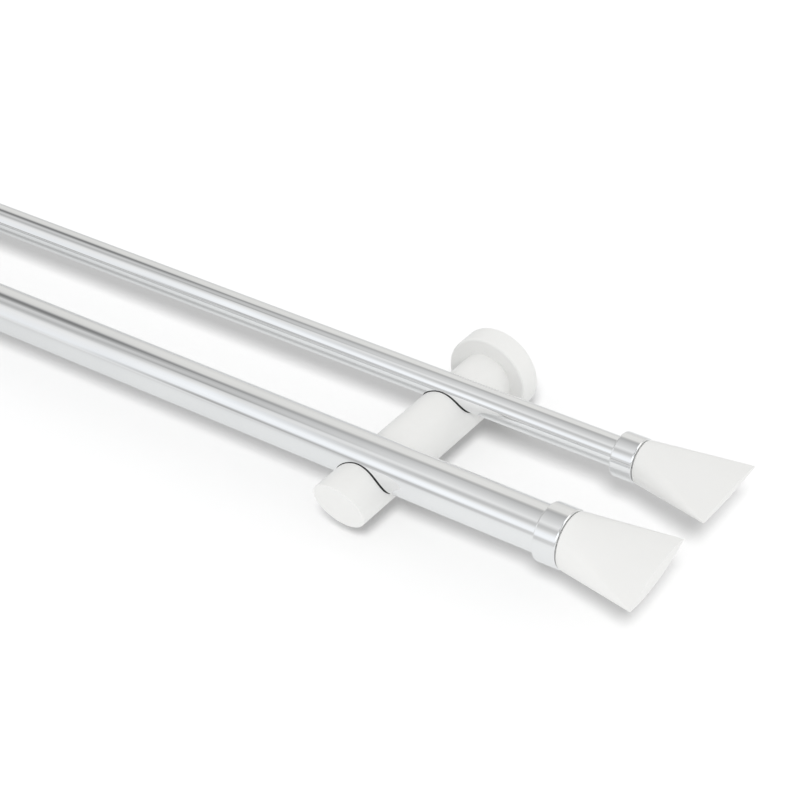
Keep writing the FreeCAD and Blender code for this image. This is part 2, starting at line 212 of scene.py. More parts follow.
# %% Chrome for the tubes and the collars
ALONG_THE_TUBE = (0.02, 1, 1)
ACROSS_THE_COLLAR = (1, 0.05, 0.05)


def chrome_finish(name, lines):
    """Mirror plating; lines is the stretch of the polishing marks along each axis."""
    finish = Finish(name, Metallic=1.0, IOR=2.5)
    marks = finish.noise(per_metre=900.0, detail=4.0, stretch=lines)
    haze = finish.noise(per_metre=26.0, detail=3.0)
    finish.tint(haze, dark=(0.86, 0.865, 0.875), light=(0.93, 0.932, 0.935))
    finish.spread(marks, low=0.02, high=0.06, socket="Roughness")
    finish.bump(marks, height_mm=0.004, strength=0.03)
    return finish


tube_chrome = chrome_finish("polished_tube_chrome", ALONG_THE_TUBE)
collar_chrome = chrome_finish("polished_collar_chrome", ACROSS_THE_COLLAR)
print("chrome finishes:", tube_chrome.material.name, collar_chrome.material.name)

# %% [markdown]
# ## White lacquer, white plastic, the plain hidden finishes and a painted gap shade
#
# The arm and the rosette are lacquered metal: a smooth film that lies in soft waves, called
# orange peel, under a thin clear gloss. The fans are moulded in white plastic, a little softer in
# gloss, with faint flow marks along the mould. The hidden parts get the plain finishes that such
# parts have: zinc on the steel and a grainy grey on the plug. The near-black finish of the saddle
# strips is painted shade: it stands in for the shadow in the gap along each saddle's lip.

# %% White and hidden finishes, and the near-black of the painted gap shade
white_lacquer = Finish("white_lacquer", Roughness=0.34, Coat_Weight=0.35, Coat_Roughness=0.12)
peel = white_lacquer.noise(per_metre=620.0, detail=2.0)
lacquer_cloud = white_lacquer.noise(per_metre=38.0, detail=3.0)
white_lacquer.tint(lacquer_cloud, dark=(0.815, 0.815, 0.80), light=(0.845, 0.845, 0.832))
white_lacquer.bump(peel, height_mm=0.02, strength=0.06)

ALONG_THE_MOULD = (0.15, 1, 1)
white_plastic = Finish("white_moulded_plastic", Roughness=0.38, Coat_Weight=0.2,
                       Coat_Roughness=0.2)
flow = white_plastic.noise(per_metre=260.0, detail=3.0, stretch=ALONG_THE_MOULD)
plastic_cloud = white_plastic.noise(per_metre=45.0, detail=3.0)
white_plastic.tint(plastic_cloud, dark=(0.80, 0.80, 0.785), light=(0.832, 0.832, 0.82))
white_plastic.bump(flow, height_mm=0.015, strength=0.05)

zinc = Finish("zinc_plated_steel", Metallic=1.0)
spangle = zinc.noise(per_metre=420.0, detail=3.0)
zinc.tint(spangle, dark=(0.52, 0.535, 0.56), light=(0.68, 0.69, 0.70))
zinc.spread(spangle, low=0.28, high=0.46, socket="Roughness")

grey_plastic = Finish("grey_plug_plastic")
grain = grey_plastic.noise(per_metre=1400.0, detail=2.0)
grey_plastic.tint(grain, dark=(0.50, 0.505, 0.51), light=(0.60, 0.605, 0.61))
grey_plastic.spread(grain, low=0.5, high=0.62, socket="Roughness")
grey_plastic.bump(grain, height_mm=0.03, strength=0.2)

# The near-black finish below is painted shade: it darkens the strips along the saddle lips as the
# gap's shadow would.
gap_shade_black = Finish("painted_gap_shade_black")
shade_strip_grain = gap_shade_black.noise(per_metre=700.0, detail=3.0)
gap_shade_black.tint(shade_strip_grain, dark=(0.012, 0.012, 0.013), light=(0.03, 0.03, 0.031))
gap_shade_black.spread(shade_strip_grain, low=0.5, high=0.68, socket="Roughness")
gap_shade_black.bump(shade_strip_grain, height_mm=0.02, strength=0.1)
print("finishes ready:", len(bpy.data.materials))

# %% [markdown]
# ## A kit for turned pieces
#
# Tubes, collars and rosettes are turned, so each is a closed outline of radius and distance that
# goes once round an axis. Turned edges are never knife-sharp. The outline's corners are rounded
# first, with a real radius, and the face normals are then weighted so that the flat faces stay
# flat in a reflection.

# %% Helpers for turned pieces
AROUND = 144
CORNER_STEPS = 5


def rounded(corners):
    """Corners are (radius, along, edge round). Gives the outline with each round as an arc."""
    outline = []
    count = len(corners)
    for k, (radius, along, edge) in enumerate(corners):
        here = Vector((radius, along))
        if edge <= 0:
            outline.append(here)
            continue
        before = (Vector(corners[k - 1][:2]) - here).normalized()
        after = (Vector(corners[(k + 1) % count][:2]) - here).normalized()
        half = math.acos(max(-1.0, min(1.0, before.dot(after)))) / 2
        start = here + before * (edge / math.tan(half))
        stop = here + after * (edge / math.tan(half))
        centre = here + (before + after).normalized() * (edge / math.sin(half))
        for step in range(CORNER_STEPS + 1):
            swing = (start - centre).slerp(stop - centre, step / CORNER_STEPS)
            outline.append(centre + swing.normalized() * edge)
    return outline


def finish_mesh(mesh, name, body, finish, sharp_degrees=40.0):
    """Makes a piece of a bmesh: smooth faces, weighted normals, a body to ride on and a finish."""
    bmesh.ops.recalc_face_normals(mesh, faces=mesh.faces)
    data = bpy.data.meshes.new(name)
    mesh.to_mesh(data)
    mesh.free()
    data.shade_smooth()
    data.set_sharp_from_angle(angle=math.radians(sharp_degrees))
    piece = bpy.data.objects.new(name, data)
    bpy.context.scene.collection.objects.link(piece)
    evener = piece.modifiers.new("even_normals", "WEIGHTED_NORMAL")
    evener.keep_sharp = True
    wear(piece, finish)
    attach(piece, body)
    return piece


def skin(mesh, rings):
    """Joins each ring of points to the next one with a band of four-sided faces."""
    count = len(rings[0])
    for ring, following in zip(rings, rings[1:]):
        for i in range(count):
            j = (i + 1) % count
            mesh.faces.new((ring[i], following[i], following[j], ring[j]))


def turned_mesh(corners, place, along):
    """A bmesh of the outline turned about an axis that starts at place and points along."""
    mesh = bmesh.new()
    turn_to_axis = Vector((0, 0, 1)).rotation_difference(Vector(along)).to_matrix()
    outline = rounded(corners)
    rings = []
    for k in range(AROUND):
        angle = 2 * math.pi * k / AROUND
        turned = [(p.x * math.cos(angle), p.x * math.sin(angle), p.y) for p in outline]
        rings.append([mesh.verts.new(Vector(place) + turn_to_axis @ Vector(p)) for p in turned])
    skin(mesh, rings + rings[:1])
    return mesh


# %% [markdown]
# ## The two tubes
#
# A real rod is a thin tube, open at both ends until the finials go in. The outline is the tube's
# wall, 1 mm thick, with the sharp saw edge taken off. A high count round the axis matters here,
# because chrome shows every facet.

# %% The rods
ROD_WALL = 1.0 * MM
INNER_EDGE = 0.2 * MM
OUTER_EDGE = 0.25 * MM

for rod in RODS:
    outer = rod_radius[rod]
    inner = outer - ROD_WALL
    wall = [(inner, -rod_half_length, INNER_EDGE), (outer, -rod_half_length, OUTER_EDGE),
            (outer, rod_half_length, OUTER_EDGE), (inner, rod_half_length, INNER_EDGE)]
    tube = finish_mesh(turned_mesh(wall, rod_axis[rod], (1, 0, 0)), f"{rod}_tube", GROUP,
                       tube_chrome)
    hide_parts(f"{rod}_rod")
    print(rod, "tube:", len(tube.data.vertices), "points")

# %% [markdown]
# ## Collars
#
# Each collar is a turned chrome ring, larger than the tube it covers. It has a wall inside, called
# a web, close to the rod's end, and a recess on the far side for the fan's neck. Both outer edges
# are generously rounded, so each shows as a thin bright ring.

# %% The collars
COLLAR_GAP = 0.3 * MM
WEB = 1.6 * MM
SEAT = 0.2 * MM
NECK_INSET = 1.5 * MM
PEG_RADIUS = {"front": 5.1 * MM, "back": 3.1 * MM}
COLLAR_EDGE = 0.9 * MM
BORE_EDGE = 0.35 * MM
RECESS_EDGE = 0.2 * MM


def beyond_rod(node):
    """Where a node starts and stops along the rod, in metres beyond the rod's end."""
    low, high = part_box(node)
    near, far = sorted((abs(low[0]), abs(high[0])))
    return near - rod_half_length, far - rod_half_length


def rod_end(rod, sign):
    """The point on the axis at a rod's right (1) or left (-1) end."""
    return Vector((sign * rod_half_length, rod_axis[rod].y, rod_axis[rod].z))


collar_radius = {rod: span(f"{rod}_right_collar").z / 2 for rod in RODS}
for rod in RODS:
    for side, sign in SIDES.items():
        back, nose = beyond_rod(f"{rod}_{side}_collar")
        outside = collar_radius[rod]
        bore = rod_radius[rod] + COLLAR_GAP
        recess = outside - NECK_INSET
        peg = PEG_RADIUS[rod]
        ring = [(bore, back, BORE_EDGE), (outside, back, COLLAR_EDGE),
                (outside, nose, COLLAR_EDGE), (recess, nose, RECESS_EDGE),
                (recess, SEAT + WEB, 0), (peg, SEAT + WEB, 0), (peg, SEAT, 0), (bore, SEAT, 0)]
        collar = finish_mesh(turned_mesh(ring, rod_end(rod, sign), (sign, 0, 0)),
                             f"{rod}_{side}_collar_ring", f"{rod}_{side}_finial",
                             collar_chrome)
        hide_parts(f"{rod}_{side}_collar")
print("collar radius in mm:", {rod: round(r / MM, 2) for rod, r in collar_radius.items()})

# %% [markdown]
# ## Fans
#
# The finial starts as a circle and ends as a flat lens with small round corners. Straight lines
# join every point of the circle to the point of the lens that faces the same way. That rule
# matters: it makes a blade whose outline is straight from wherever it is seen, as the real moulded
# piece has. Points joined by their place along the line would give a waist instead.

# %% The lens and the foot as matching points
FAN_CORNER = 0.4 * MM
FAN_INSET = 0.3 * MM
SHADOW_GAP = 0.6 * MM
NECK_GAP = 0.1 * MM
FOOT_ROUND = 0.5 * MM
END_ROUND = 0.3 * MM
CORNER_POINTS = 64
WIDE_POINTS = 26
BLADE_RINGS = 24
FOOT_STEPS = 5
END_STEPS = 4
FAN_SIZE = {"front": (48.8 * MM, 8.0 * MM), "back": (50.0 * MM, 3.4 * MM)}
FAN_TILT = {("front", "right"): math.radians(11.9), ("back", "right"): math.radians(1.8),
            ("front", "left"): 0.0, ("back", "left"): 0.0}


def lens_line(width, thickness):
    """Pairs of (outward direction, point) once round the lens, from the lower right joint."""
    half, high, corner = width / 2, thickness / 2, FAN_CORNER
    centre = half - corner
    radius = (centre ** 2 + high ** 2 - corner ** 2) / (2 * (high - corner))
    drop = radius - high
    turn = math.acos(centre / (radius - corner))
    arcs = [
        ((centre, 0), corner, -turn, turn, CORNER_POINTS),
        ((0, -drop), radius, turn, math.pi - turn, WIDE_POINTS),
        ((-centre, 0), corner, math.pi - turn, math.pi + turn, CORNER_POINTS),
        ((0, drop), radius, math.pi + turn, 2 * math.pi - turn, WIDE_POINTS),
    ]
    line = []
    for middle_point, size, first, last, count in arcs:
        for k in range(count):
            angle = first + (last - first) * k / count
            facing = Vector((math.cos(angle), math.sin(angle)))
            line.append((facing, Vector(middle_point) + facing * size))
    return line


print("points round a fan:", len(lens_line(*FAN_SIZE["front"])))

# %% [markdown]
# The blade is then a stack of rings. The first ones make the neck that goes into the collar and the
# rounded foot, the middle ones slide from circle to lens, and the last ones break the end's edge.

# %% The fans


def fan_levels(rod, shoulder, tip):
    """The rings of a fan as (height along the rod's axis, points across it)."""
    line = lens_line(*FAN_SIZE[rod])
    foot = collar_radius[rod] - FAN_INSET
    neck = collar_radius[rod] - NECK_INSET - NECK_GAP
    levels = []

    def add_circle(height, size):
        levels.append((height, [facing * size for facing, _ in line]))

    add_circle(SEAT + WEB, neck)
    add_circle(shoulder, neck)
    for k in range(FOOT_STEPS + 1):
        angle = math.pi / 2 * k / FOOT_STEPS
        add_circle(shoulder + FOOT_ROUND * (1 - math.cos(angle)),
                   foot - FOOT_ROUND * (1 - math.sin(angle)))
    start, stop = shoulder + FOOT_ROUND, tip - END_ROUND
    for k in range(1, BLADE_RINGS + 1):
        height = start + (stop - start) * k / BLADE_RINGS
        share = (height - shoulder) / (tip - shoulder)
        levels.append((height, [facing * foot * (1 - share) + point * share
                                for facing, point in line]))
    for k in range(1, END_STEPS + 1):
        angle = math.pi / 2 * k / END_STEPS
        inset = END_ROUND * (1 - math.cos(angle))
        levels.append((stop + END_ROUND * math.sin(angle),
                       [point - facing * inset for facing, point in line]))
    return levels


def fan_mesh(levels, end, sign, tilt):
    """Skins the rings and closes both ends; end is the rod's end and tilt turns the blade."""
    mesh = bmesh.new()
    rings = []
    for out, points in levels:
        ring = []
        for point in points:
            across = point.x * math.cos(tilt) - point.y * math.sin(tilt)
            up = point.x * math.sin(tilt) + point.y * math.cos(tilt)
            ring.append(mesh.verts.new(end + Vector((sign * out, sign * across, up))))
        rings.append(ring)
    skin(mesh, rings)
    mesh.faces.new(rings[0])
    mesh.faces.new(rings[-1])
    return mesh


for rod in RODS:
    for side, sign in SIDES.items():
        nose = beyond_rod(f"{rod}_{side}_collar")[1]
        tip = beyond_rod(f"{rod}_{side}_fan")[1]
        levels = fan_levels(rod, nose + SHADOW_GAP, tip)
        fan = finish_mesh(fan_mesh(levels, rod_end(rod, sign), sign, FAN_TILT[(rod, side)]),
                          f"{rod}_{side}_fan_blade", f"{rod}_{side}_finial",
                          white_plastic, sharp_degrees=50.0)
        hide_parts(f"{rod}_{side}_fan")
        print(rod, side, "fan: ends", round(tip / MM, 1), "mm beyond the rod")

# %% [markdown]
# ## Arms
#
# The arm is a solid bar that was bored across twice, near its top, so that each bore breaks out
# and leaves a saddle. The front is sawn off at a slant and its rim is rounded. Taking simple solids
# away from a bar is how the real one is made, so the boolean modifier does the same here, and a
# fine bevel then breaks the saddles' sharp lips as a file would.

# %% The bar and the tools that cut it
SADDLE_GAP = 0.5 * MM
ARM_REACH = 142.0 * MM
FRONT_SLANT = math.radians(17.0)
FRONT_EASE = 0.7 * MM
LIP_EASE = 0.2 * MM
LIP_ANGLE = math.radians(38)
SCREW_RADIUS = 2.5 * MM
SPIGOT_BORE = 7.2 * MM
SPIGOT_DEPTH = 21.5 * MM
TOOL_REACH = 30.0 * MM
BAR_AROUND, SADDLE_AROUND, SPIGOT_AROUND, SCREW_AROUND = 160, 128, 64, 48
rosette_depth = span("right_rosette").y


def cylinder(name, start, stop, radius, around):
    """A round bar between two points: the arm itself, or a tool that cuts it."""
    start, stop = Vector(start), Vector(stop)
    mesh = bmesh.new()
    turn = Vector((0, 0, 1)).rotation_difference(stop - start).to_matrix().to_4x4()
    bmesh.ops.create_cone(mesh, cap_ends=True, segments=around, radius1=radius, radius2=radius,
                          depth=(stop - start).length,
                          matrix=Matrix.Translation((start + stop) / 2) @ turn)
    data = bpy.data.meshes.new(name)
    mesh.to_mesh(data)
    mesh.free()
    made = bpy.data.objects.new(name, data)
    bpy.context.scene.collection.objects.link(made)
    return made


def arm_tools(x):
    """The cutting tools for one arm that stands at x."""
    tools = []
    for rod in RODS:
        y, z = rod_axis[rod].y, rod_axis[rod].z
        tools.append(cylinder(f"{rod}_saddle_tool", (x - TOOL_REACH, y, z), (x + TOOL_REACH, y, z),
                              rod_radius[rod] + SADDLE_GAP, SADDLE_AROUND))
        tools.append(cylinder(f"{rod}_screw_tool", (x, y, z), (x, y, -TOOL_REACH),
                              SCREW_RADIUS, SCREW_AROUND))
    lock_y = middle("right_lock_screw").y
    tools.append(cylinder("lock_tool", (x, lock_y, 0), (x, lock_y, -TOOL_REACH),
                          SCREW_RADIUS, SCREW_AROUND))
    tools.append(cylinder("spigot_tool", (x, 0, 0), (x, -rosette_depth - SPIGOT_DEPTH, 0),
                          SPIGOT_BORE, SPIGOT_AROUND))
    return tools


def slanted_bar(x):
    """The plain bar, its front ring of points moved onto the slanted cut and its rim rounded."""
    bar = cylinder("bar", (x, -rosette_depth, 0), (x, -ARM_REACH, 0), arm_radius, BAR_AROUND)
    mesh = bmesh.new()
    mesh.from_mesh(bar.data)
    front = {point for point in mesh.verts if point.co.y < -ARM_REACH / 2}
    for point in front:
        point.co.y = -ARM_REACH - point.co.z * math.tan(FRONT_SLANT)
    mesh.normal_update()
    rim = [edge for edge in mesh.edges if front.issuperset(edge.verts)]
    bmesh.ops.bevel(mesh, geom=rim, offset=FRONT_EASE, segments=6, profile=0.5, affect="EDGES")
    mesh.to_mesh(bar.data)
    mesh.free()
    return bar


print("arm reach", ARM_REACH / MM, "mm, rosette depth", round(rosette_depth / MM, 2), "mm")

# %% [markdown]
# The cuts are made one after the other, then the edges that they leave are eased. What comes out is
# kept as a plain mesh, and the bar and its tools are cleared away.

# %% The arms


def take_away(bar, tools):
    """Cuts the tools out of the bar, eases the edges that they leave and gives the shape."""
    for each in tools:
        taken = bar.modifiers.new("take_away", "BOOLEAN")
        taken.operation = "DIFFERENCE"
        taken.solver = "EXACT"
        taken.object = each
    eased = bar.modifiers.new("eased_edges", "BEVEL")
    eased.limit_method = "ANGLE"
    eased.angle_limit = LIP_ANGLE
    eased.width = LIP_EASE
    eased.segments = 3
    bpy.context.view_layer.update()
    shape = bmesh.new()
    shape.from_object(bar, bpy.context.evaluated_depsgraph_get())
    for each in tools + [bar]:
        bpy.data.objects.remove(each, do_unlink=True)
    return shape


for side, sign in SIDES.items():
    x = sign * bracket_x
    arm = finish_mesh(take_away(slanted_bar(x), arm_tools(x)), f"{side}_arm_bar", GROUP,
                      white_lacquer, sharp_degrees=35.0)
    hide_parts(f"{side}_arm")
    print(side, "arm:", len(arm.data.polygons), "faces")

# %% [markdown]
# ## Painted shade strips in the saddles
#
# A fine black line runs along each saddle's lip, between the white arm and the chrome. It is
# painted
# shade: a thin black strip stands where the gap between arm and tube holds its shadow. The strip
# follows the bore, and its outer edge follows the bar's own round and stands a little proud of it,
# so the bar's radius and the height of each point give that edge. There is one strip on each side
# of an arm, clear of the screw that comes up in the middle. Over the crest of the bar the two
# strips
# nearly meet: a hair's breadth is left, so that each is a closed solid.

# %% The painted shade strips
STRIP_CLEARANCE = 0.1 * MM
STRIP_BACK_GAP = 0.02 * MM
STRIP_PROUD = 0.35 * MM
STRIP_WIDTH = 3.0 * MM
STRIP_TIP = 0.1 * MM
STRIP_SLIT = 0.01 * MM
STRIP_STEPS = 96


def shade_strip_mesh(rod, x):
    """The two black strips of painted shade that line one saddle of the arm at x."""
    mesh = bmesh.new()
    cut_radius = arm_radius + STRIP_PROUD
    outer = rod_radius[rod] + SADDLE_GAP - STRIP_BACK_GAP
    radii = (rod_radius[rod] + STRIP_CLEARANCE, outer)
    crest = math.sqrt(cut_radius ** 2 - STRIP_TIP ** 2)
    rise = math.asin((crest - rod_axis[rod].z) / outer)
    for sign in SIDES.values():
        rows = []
        for k in range(STRIP_STEPS + 1):
            angle = math.pi - rise + (math.pi + 2 * rise) * k / STRIP_STEPS
            row = []
            for radius in radii:
                y = rod_axis[rod].y + radius * math.cos(angle)
                z = rod_axis[rod].z + radius * math.sin(angle)
                edge = math.sqrt(cut_radius ** 2 - z ** 2)
                row.append((x + sign * edge, y, z))
                row.append((x + sign * max(STRIP_SLIT, edge - STRIP_WIDTH), y, z))
            rows.append([mesh.verts.new(row[i]) for i in (0, 1, 3, 2)])
        skin(mesh, rows)
        mesh.faces.new(rows[0])
        mesh.faces.new(rows[-1])
    return mesh


# Each arm's black strips are painted shade for the gaps at its saddle lips.
for side, sign in SIDES.items():
    for rod in RODS:
        shade_strip = finish_mesh(shade_strip_mesh(rod, sign * bracket_x), f"{side}_{rod}_saddle_shade_strip", GROUP,
                            gap_shade_black, sharp_degrees=50.0)
        print(side, rod, "saddle liner:", len(shade_strip.data.polygons), "faces")

# %% [markdown]
# ## Rosettes
#
# The rosette is a shallow turned cup that slips over the wall plate. Its rim touches the wall
# and its face carries the arm's shoulder. The front edge has a soft round, which catches a thin
# line of light in the photograph.

# %% The rosettes
ROSETTE_FACE = 2.5 * MM
ROSETTE_SKIRT = 2.0 * MM
FRONT_ROUND = 1.2 * MM
HOLLOW_ROUND = 0.6 * MM
RIM_EDGE = 0.3 * MM
FINE_EDGE = 0.2 * MM

rosette_radius = span("right_rosette").x / 2
hollow_radius = rosette_radius - ROSETTE_SKIRT
hollow_depth = rosette_depth - ROSETTE_FACE
cup = [(SPIGOT_BORE, hollow_depth, 0), (hollow_radius, hollow_depth, HOLLOW_ROUND),
       (hollow_radius, 0, FINE_EDGE), (rosette_radius, 0, RIM_EDGE),
       (rosette_radius, rosette_depth, FRONT_ROUND), (SPIGOT_BORE, rosette_depth, FINE_EDGE)]
for side, sign in SIDES.items():
    rosette = finish_mesh(turned_mesh(cup, (sign * bracket_x, 0, 0), (0, -1, 0)),
                          f"{side}_rosette_cup", GROUP, white_lacquer)
    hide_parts(f"{side}_rosette")
print("rosette radius in mm:", round(rosette_radius / MM, 2))

# %% [markdown]
# ## Plates, screws and plugs
#
# These pieces hardly show, and the model already has their true shape: the countersunk holes,
# the key sockets and the ribs. They stay as they are and only get their finishes. The model's
# other pieces get the finish of the dressed piece that stands in for them.

# %% Finishes for the model's own pieces
for node_name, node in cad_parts.items():
    if node_name.endswith(("_wall_plate", "_screw")):
        wear(node, zinc)
    elif node_name.endswith("_plug"):
        wear(node, grey_plastic)
    elif node_name.endswith(("_rod", "_collar")):
        wear(node, tube_chrome)
    elif node_name.endswith("_fan"):
        wear(node, white_plastic)
    else:
        wear(node, white_lacquer)
print("nodes dressed:", len(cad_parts))

# %% [markdown]
# ## Floor
#
# A plain white floor lies 6 mm under the lowest point, low enough for a thin edge of light between
# a piece and its shadow. Mirror rays see a greyer floor than the camera does: a tube that showed
# pure white along its whole lower half would lose its roundness. That greyer floor is part matt
# and part glow, so the shadows are fainter in the chrome than on the floor itself. The glow falls
# off gently to the left, as soft light does with distance, and between the front rod and the wall,
# where the rods keep some of it away.

# %% Floor
FLOOR_DROP = 6.0 * MM
FLOOR_HALF_SIZE = 12.0
floor_level = cad_low[2] - FLOOR_DROP
floor_mesh = bmesh.new()
bmesh.ops.create_grid(floor_mesh, x_segments=1, y_segments=1, size=FLOOR_HALF_SIZE)
floor_data = bpy.data.meshes.new("floor")
floor_mesh.to_mesh(floor_data)
floor_mesh.free()
floor = bpy.data.objects.new("floor", floor_data)
floor.location.z = floor_level
bpy.context.scene.collection.objects.link(floor)
print("floor at", round(floor_level / MM, 2), "mm")

# %% [markdown]
# The glow's level comes from the place on the floor, in metres: one ramp runs from left to right
# and a second one, taken off it, from the front rod towards the wall. The light path then tells a
# mirror ray, which gets the grey and the glow, from every other ray, which gets the white.

# %% The floor's two looks
SEEN_WHITE = (0.67, 0.67, 0.67, 1)
MIRRORED_GREY = (0.275, 0.28, 0.28, 1)
GLOW_COLOUR = (0.99, 1.0, 0.998, 1)
LEFT_TO_RIGHT = (0.0, 0.55)
GLOW_LEFT, GLOW_RIGHT = 0.315, 0.475
ROD_TO_WALL = (-0.14, -0.08)
KEPT_AWAY = 0.08

floor_material = bpy.data.materials.new("white_floor")
floor_material.use_nodes = True
floor_nodes = floor_material.node_tree.nodes
floor_links = floor_material.node_tree.links
floor_nodes.clear()
floor_place = floor_nodes.new("ShaderNodeTexCoord")
floor_axes = floor_nodes.new("ShaderNodeSeparateXYZ")
floor_links.new(floor_place.outputs["Object"], floor_axes.inputs[0])


def fall_off(axis, places, levels):
    """A level that runs between two places on one axis of the floor and is steady beyond them."""
    ramp = floor_nodes.new("ShaderNodeMapRange")
    ramp.inputs["From Min"].default_value, ramp.inputs["From Max"].default_value = places
    ramp.inputs["To Min"].default_value, ramp.inputs["To Max"].default_value = levels
    floor_links.new(floor_axes.outputs[axis], ramp.inputs["Value"])
    return ramp.outputs["Result"]


glow_level = floor_nodes.new("ShaderNodeMath")
glow_level.operation = "SUBTRACT"
floor_links.new(fall_off("X", LEFT_TO_RIGHT, (GLOW_LEFT, GLOW_RIGHT)), glow_level.inputs[0])
floor_links.new(fall_off("Y", ROD_TO_WALL, (0.0, KEPT_AWAY)), glow_level.inputs[1])
mirrored_glow = floor_nodes.new("ShaderNodeEmission")
mirrored_glow.inputs["Color"].default_value = GLOW_COLOUR
floor_links.new(glow_level.outputs[0], mirrored_glow.inputs["Strength"])
seen_white = floor_nodes.new("ShaderNodeBsdfDiffuse")
seen_white.inputs["Color"].default_value = SEEN_WHITE
mirrored_grey = floor_nodes.new("ShaderNodeBsdfDiffuse")
mirrored_grey.inputs["Color"].default_value = MIRRORED_GREY
mirrored = floor_nodes.new("ShaderNodeAddShader")
floor_links.new(mirrored_grey.outputs[0], mirrored.inputs[0])
floor_links.new(mirrored_glow.outputs[0], mirrored.inputs[1])
floor_rays = floor_nodes.new("ShaderNodeLightPath")
floor_mix = floor_nodes.new("ShaderNodeMixShader")
floor_out = floor_nodes.new("ShaderNodeOutputMaterial")
floor_links.new(floor_rays.outputs["Is Glossy Ray"], floor_mix.inputs[0])
floor_links.new(seen_white.outputs[0], floor_mix.inputs[1])
floor_links.new(mirrored.outputs[0], floor_mix.inputs[2])
floor_links.new(floor_mix.outputs[0], floor_out.inputs["Surface"])
floor_data.materials.append(floor_material)
print("floor glow from", GLOW_LEFT, "on the left to", GLOW_RIGHT, "on the right")

# %% [markdown]
# ## The room that the chrome reflects
#
# Chrome has hardly a look of its own: it shows the room. A photographer hangs long white strips
# and dark gaps beside a tube, parallel to it, and they appear as bands along it. Here the sky
# does that. Each list below goes round the X axis: 0 degrees is the room side, 90 is overhead and
# 180 is the wall side. The strips don't run quite parallel to the tubes, so there are several
# lists, from rays that run far to the left along the tubes to rays that run far to the right, and
# the sky blends them. The last list is the brightest: the collars' round edges show most of it.
# The bright strips are a little cool and the wall side is a little warm.

# %% Rows of bands round the rods
SKY_BANDS = {
    -0.625: [
        (0, 0.80), (16, 0.93), (48, 0.90), (58, 0.80), (65, 0.60), (73, 0.50), (80, 0.60),
        (90, 0.68), (97, 0.44), (104, 0.26), (112, 0.22), (118, 0.42), (125, 0.68), (135, 0.76),
        (160, 0.78), (176, 0.66)],
    -0.575: [
        (3, 0.78), (9, 0.38), (14, 0.56), (20, 0.96), (34, 1.04), (50, 0.98), (60, 0.88),
        (72, 0.72), (78, 0.36), (83, 0.52), (92, 0.60), (103, 0.52), (110, 0.30), (116, 0.46),
        (123, 0.76), (150, 0.80), (176, 0.72)],
    -0.48: [
        (3, 0.58), (9, 0.56), (15, 0.92), (22, 1.08), (32, 1.04), (40, 0.84), (48, 0.60),
        (56, 0.58), (62, 0.76), (68, 0.88), (80, 0.78), (95, 0.68), (110, 0.60), (117, 0.44),
        (125, 0.60), (131, 0.80), (155, 0.82), (176, 0.72)],
    -0.43: [
        (3, 0.68), (9, 0.68), (15, 0.98), (20, 1.05), (30, 0.98), (38, 0.80), (44, 0.64),
        (52, 0.58), (60, 0.76), (66, 0.86), (78, 0.74), (90, 0.66), (104, 0.56), (117, 0.46),
        (125, 0.62), (131, 0.80), (155, 0.82), (176, 0.72)],
    -0.2: [
        (3, 0.74), (10, 0.66), (17, 1.00), (30, 1.20), (42, 0.95), (52, 0.62), (60, 0.84),
        (70, 1.00), (86, 0.80), (100, 0.62), (112, 0.40), (119, 0.50), (127, 0.82), (150, 0.88),
        (162, 0.62), (176, 0.76)],
    0.15: [
        (3, 0.74), (11, 0.58), (18, 0.95), (28, 1.25), (48, 1.25), (57, 0.62), (64, 0.50),
        (71, 0.78), (78, 0.60), (85, 0.42), (92, 0.85), (100, 1.20), (124, 1.20), (134, 0.82),
        (146, 0.62), (158, 0.84), (176, 0.76)],
    0.5: [
        (3, 0.66), (9, 0.56), (15, 0.95), (24, 1.30), (50, 1.30), (58, 0.60), (65, 0.46),
        (72, 0.80), (80, 0.56), (87, 0.40), (94, 0.95), (102, 1.35), (130, 1.35), (140, 0.80),
        (150, 0.60), (160, 0.84), (176, 0.74)],
    0.8: [
        (3, 0.84), (10, 0.60), (16, 1.05), (26, 1.35), (46, 1.35), (54, 0.72), (63, 0.42),
        (72, 0.86), (80, 0.52), (88, 0.36), (94, 0.90), (102, 1.50), (128, 1.50), (140, 0.85),
        (150, 1.20), (160, 1.30), (170, 0.75), (176, 0.70)],
}
BEHIND = 120
BRIGHT = 0.9
HALF_ROUND = 180
WARM = (1.0, 0.998, 0.975)
COOL = (0.965, 0.990, 1.014)
NEUTRAL = (0.992, 0.998, 0.996)

print("rows of bands:", len(SKY_BANDS))

# %% [markdown]
# Each list becomes a colour ramp that runs round the X axis. The ray's own direction gives the
# place on the ramps, and how far the ray leans along X tells which two rows to blend.

# %% The rows blended into one sky
world = bpy.data.worlds.new("studio")
bpy.context.scene.world = world
world.use_nodes = True
sky_nodes = world.node_tree.nodes
sky_links = world.node_tree.links
sky_nodes.clear()


def sky_math(operation, first, second):
    """One sum in the sky's network; each input is a socket or a number."""
    node = sky_nodes.new("ShaderNodeMath")
    node.operation = operation
    for k, value in enumerate((first, second)):
        if isinstance(value, (int, float)):
            node.inputs[k].default_value = value
        else:
            sky_links.new(value, node.inputs[k])
    return node.outputs[0]


def band_row(row, place):
    """A colour ramp round the X axis for one row of bands."""
    ramp_node = sky_nodes.new("ShaderNodeValToRGB")
    stops = ramp_node.color_ramp.elements
    while len(stops) < len(row):
        stops.new(0.5)
    for k, (degrees, level) in enumerate(row):
        tint = WARM if degrees >= BEHIND else COOL if level > BRIGHT else NEUTRAL
        stops[k].position = degrees / HALF_ROUND
        stops[k].color = (*(level * part for part in tint), 1)
    sky_links.new(place, ramp_node.inputs["Fac"])
    return ramp_node.outputs["Color"]


